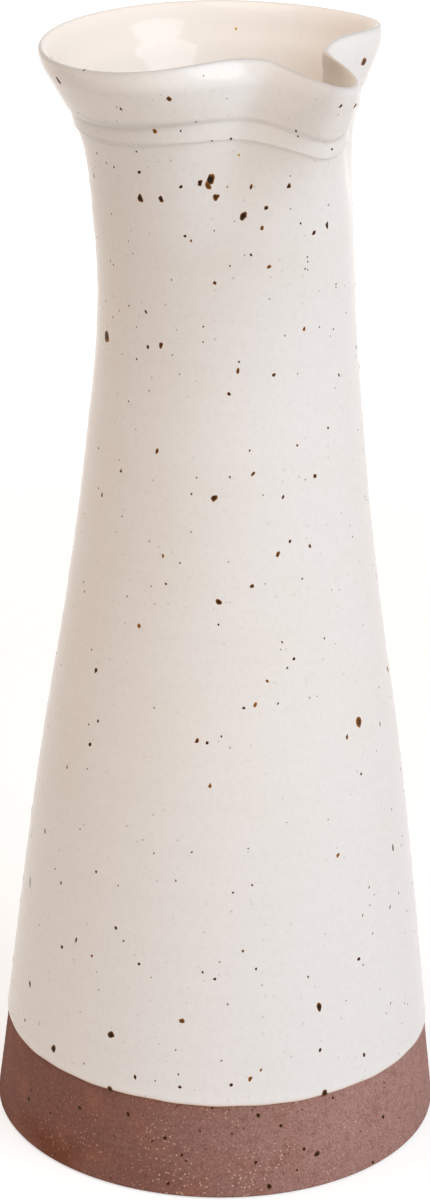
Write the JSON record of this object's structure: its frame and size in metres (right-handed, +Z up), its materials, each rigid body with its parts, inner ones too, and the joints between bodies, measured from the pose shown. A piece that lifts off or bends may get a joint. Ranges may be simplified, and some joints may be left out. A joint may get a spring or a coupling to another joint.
{
  "type": "ceramic carafe",
  "caption": "Tall wheel-thrown stoneware carafe with a bare clay foot, speckled cream glaze, a turned band under a flared mouth and a pinched pouring lip.",
  "frame": {"origin": "middle of the foot, on the surface that the carafe stands on", "axes": "+Z up along the axis of the foot, +X towards the pouring spout"},
  "size_m": [0.1018, 0.1018, 0.256],
  "materials": {
    "stoneware": "bare fired red-brown stoneware, matt, with pale grit and dark specks",
    "cream_glaze": "satin cream-white glaze with iron specks",
    "liner_glaze": "glossy warm cream liner glaze"
  },
  "bodies": {
    "root": {"stoneware_body": "stoneware", "outer_glaze": "cream_glaze", "liner_glaze": "liner_glaze"}
  },
  "joints": []
}
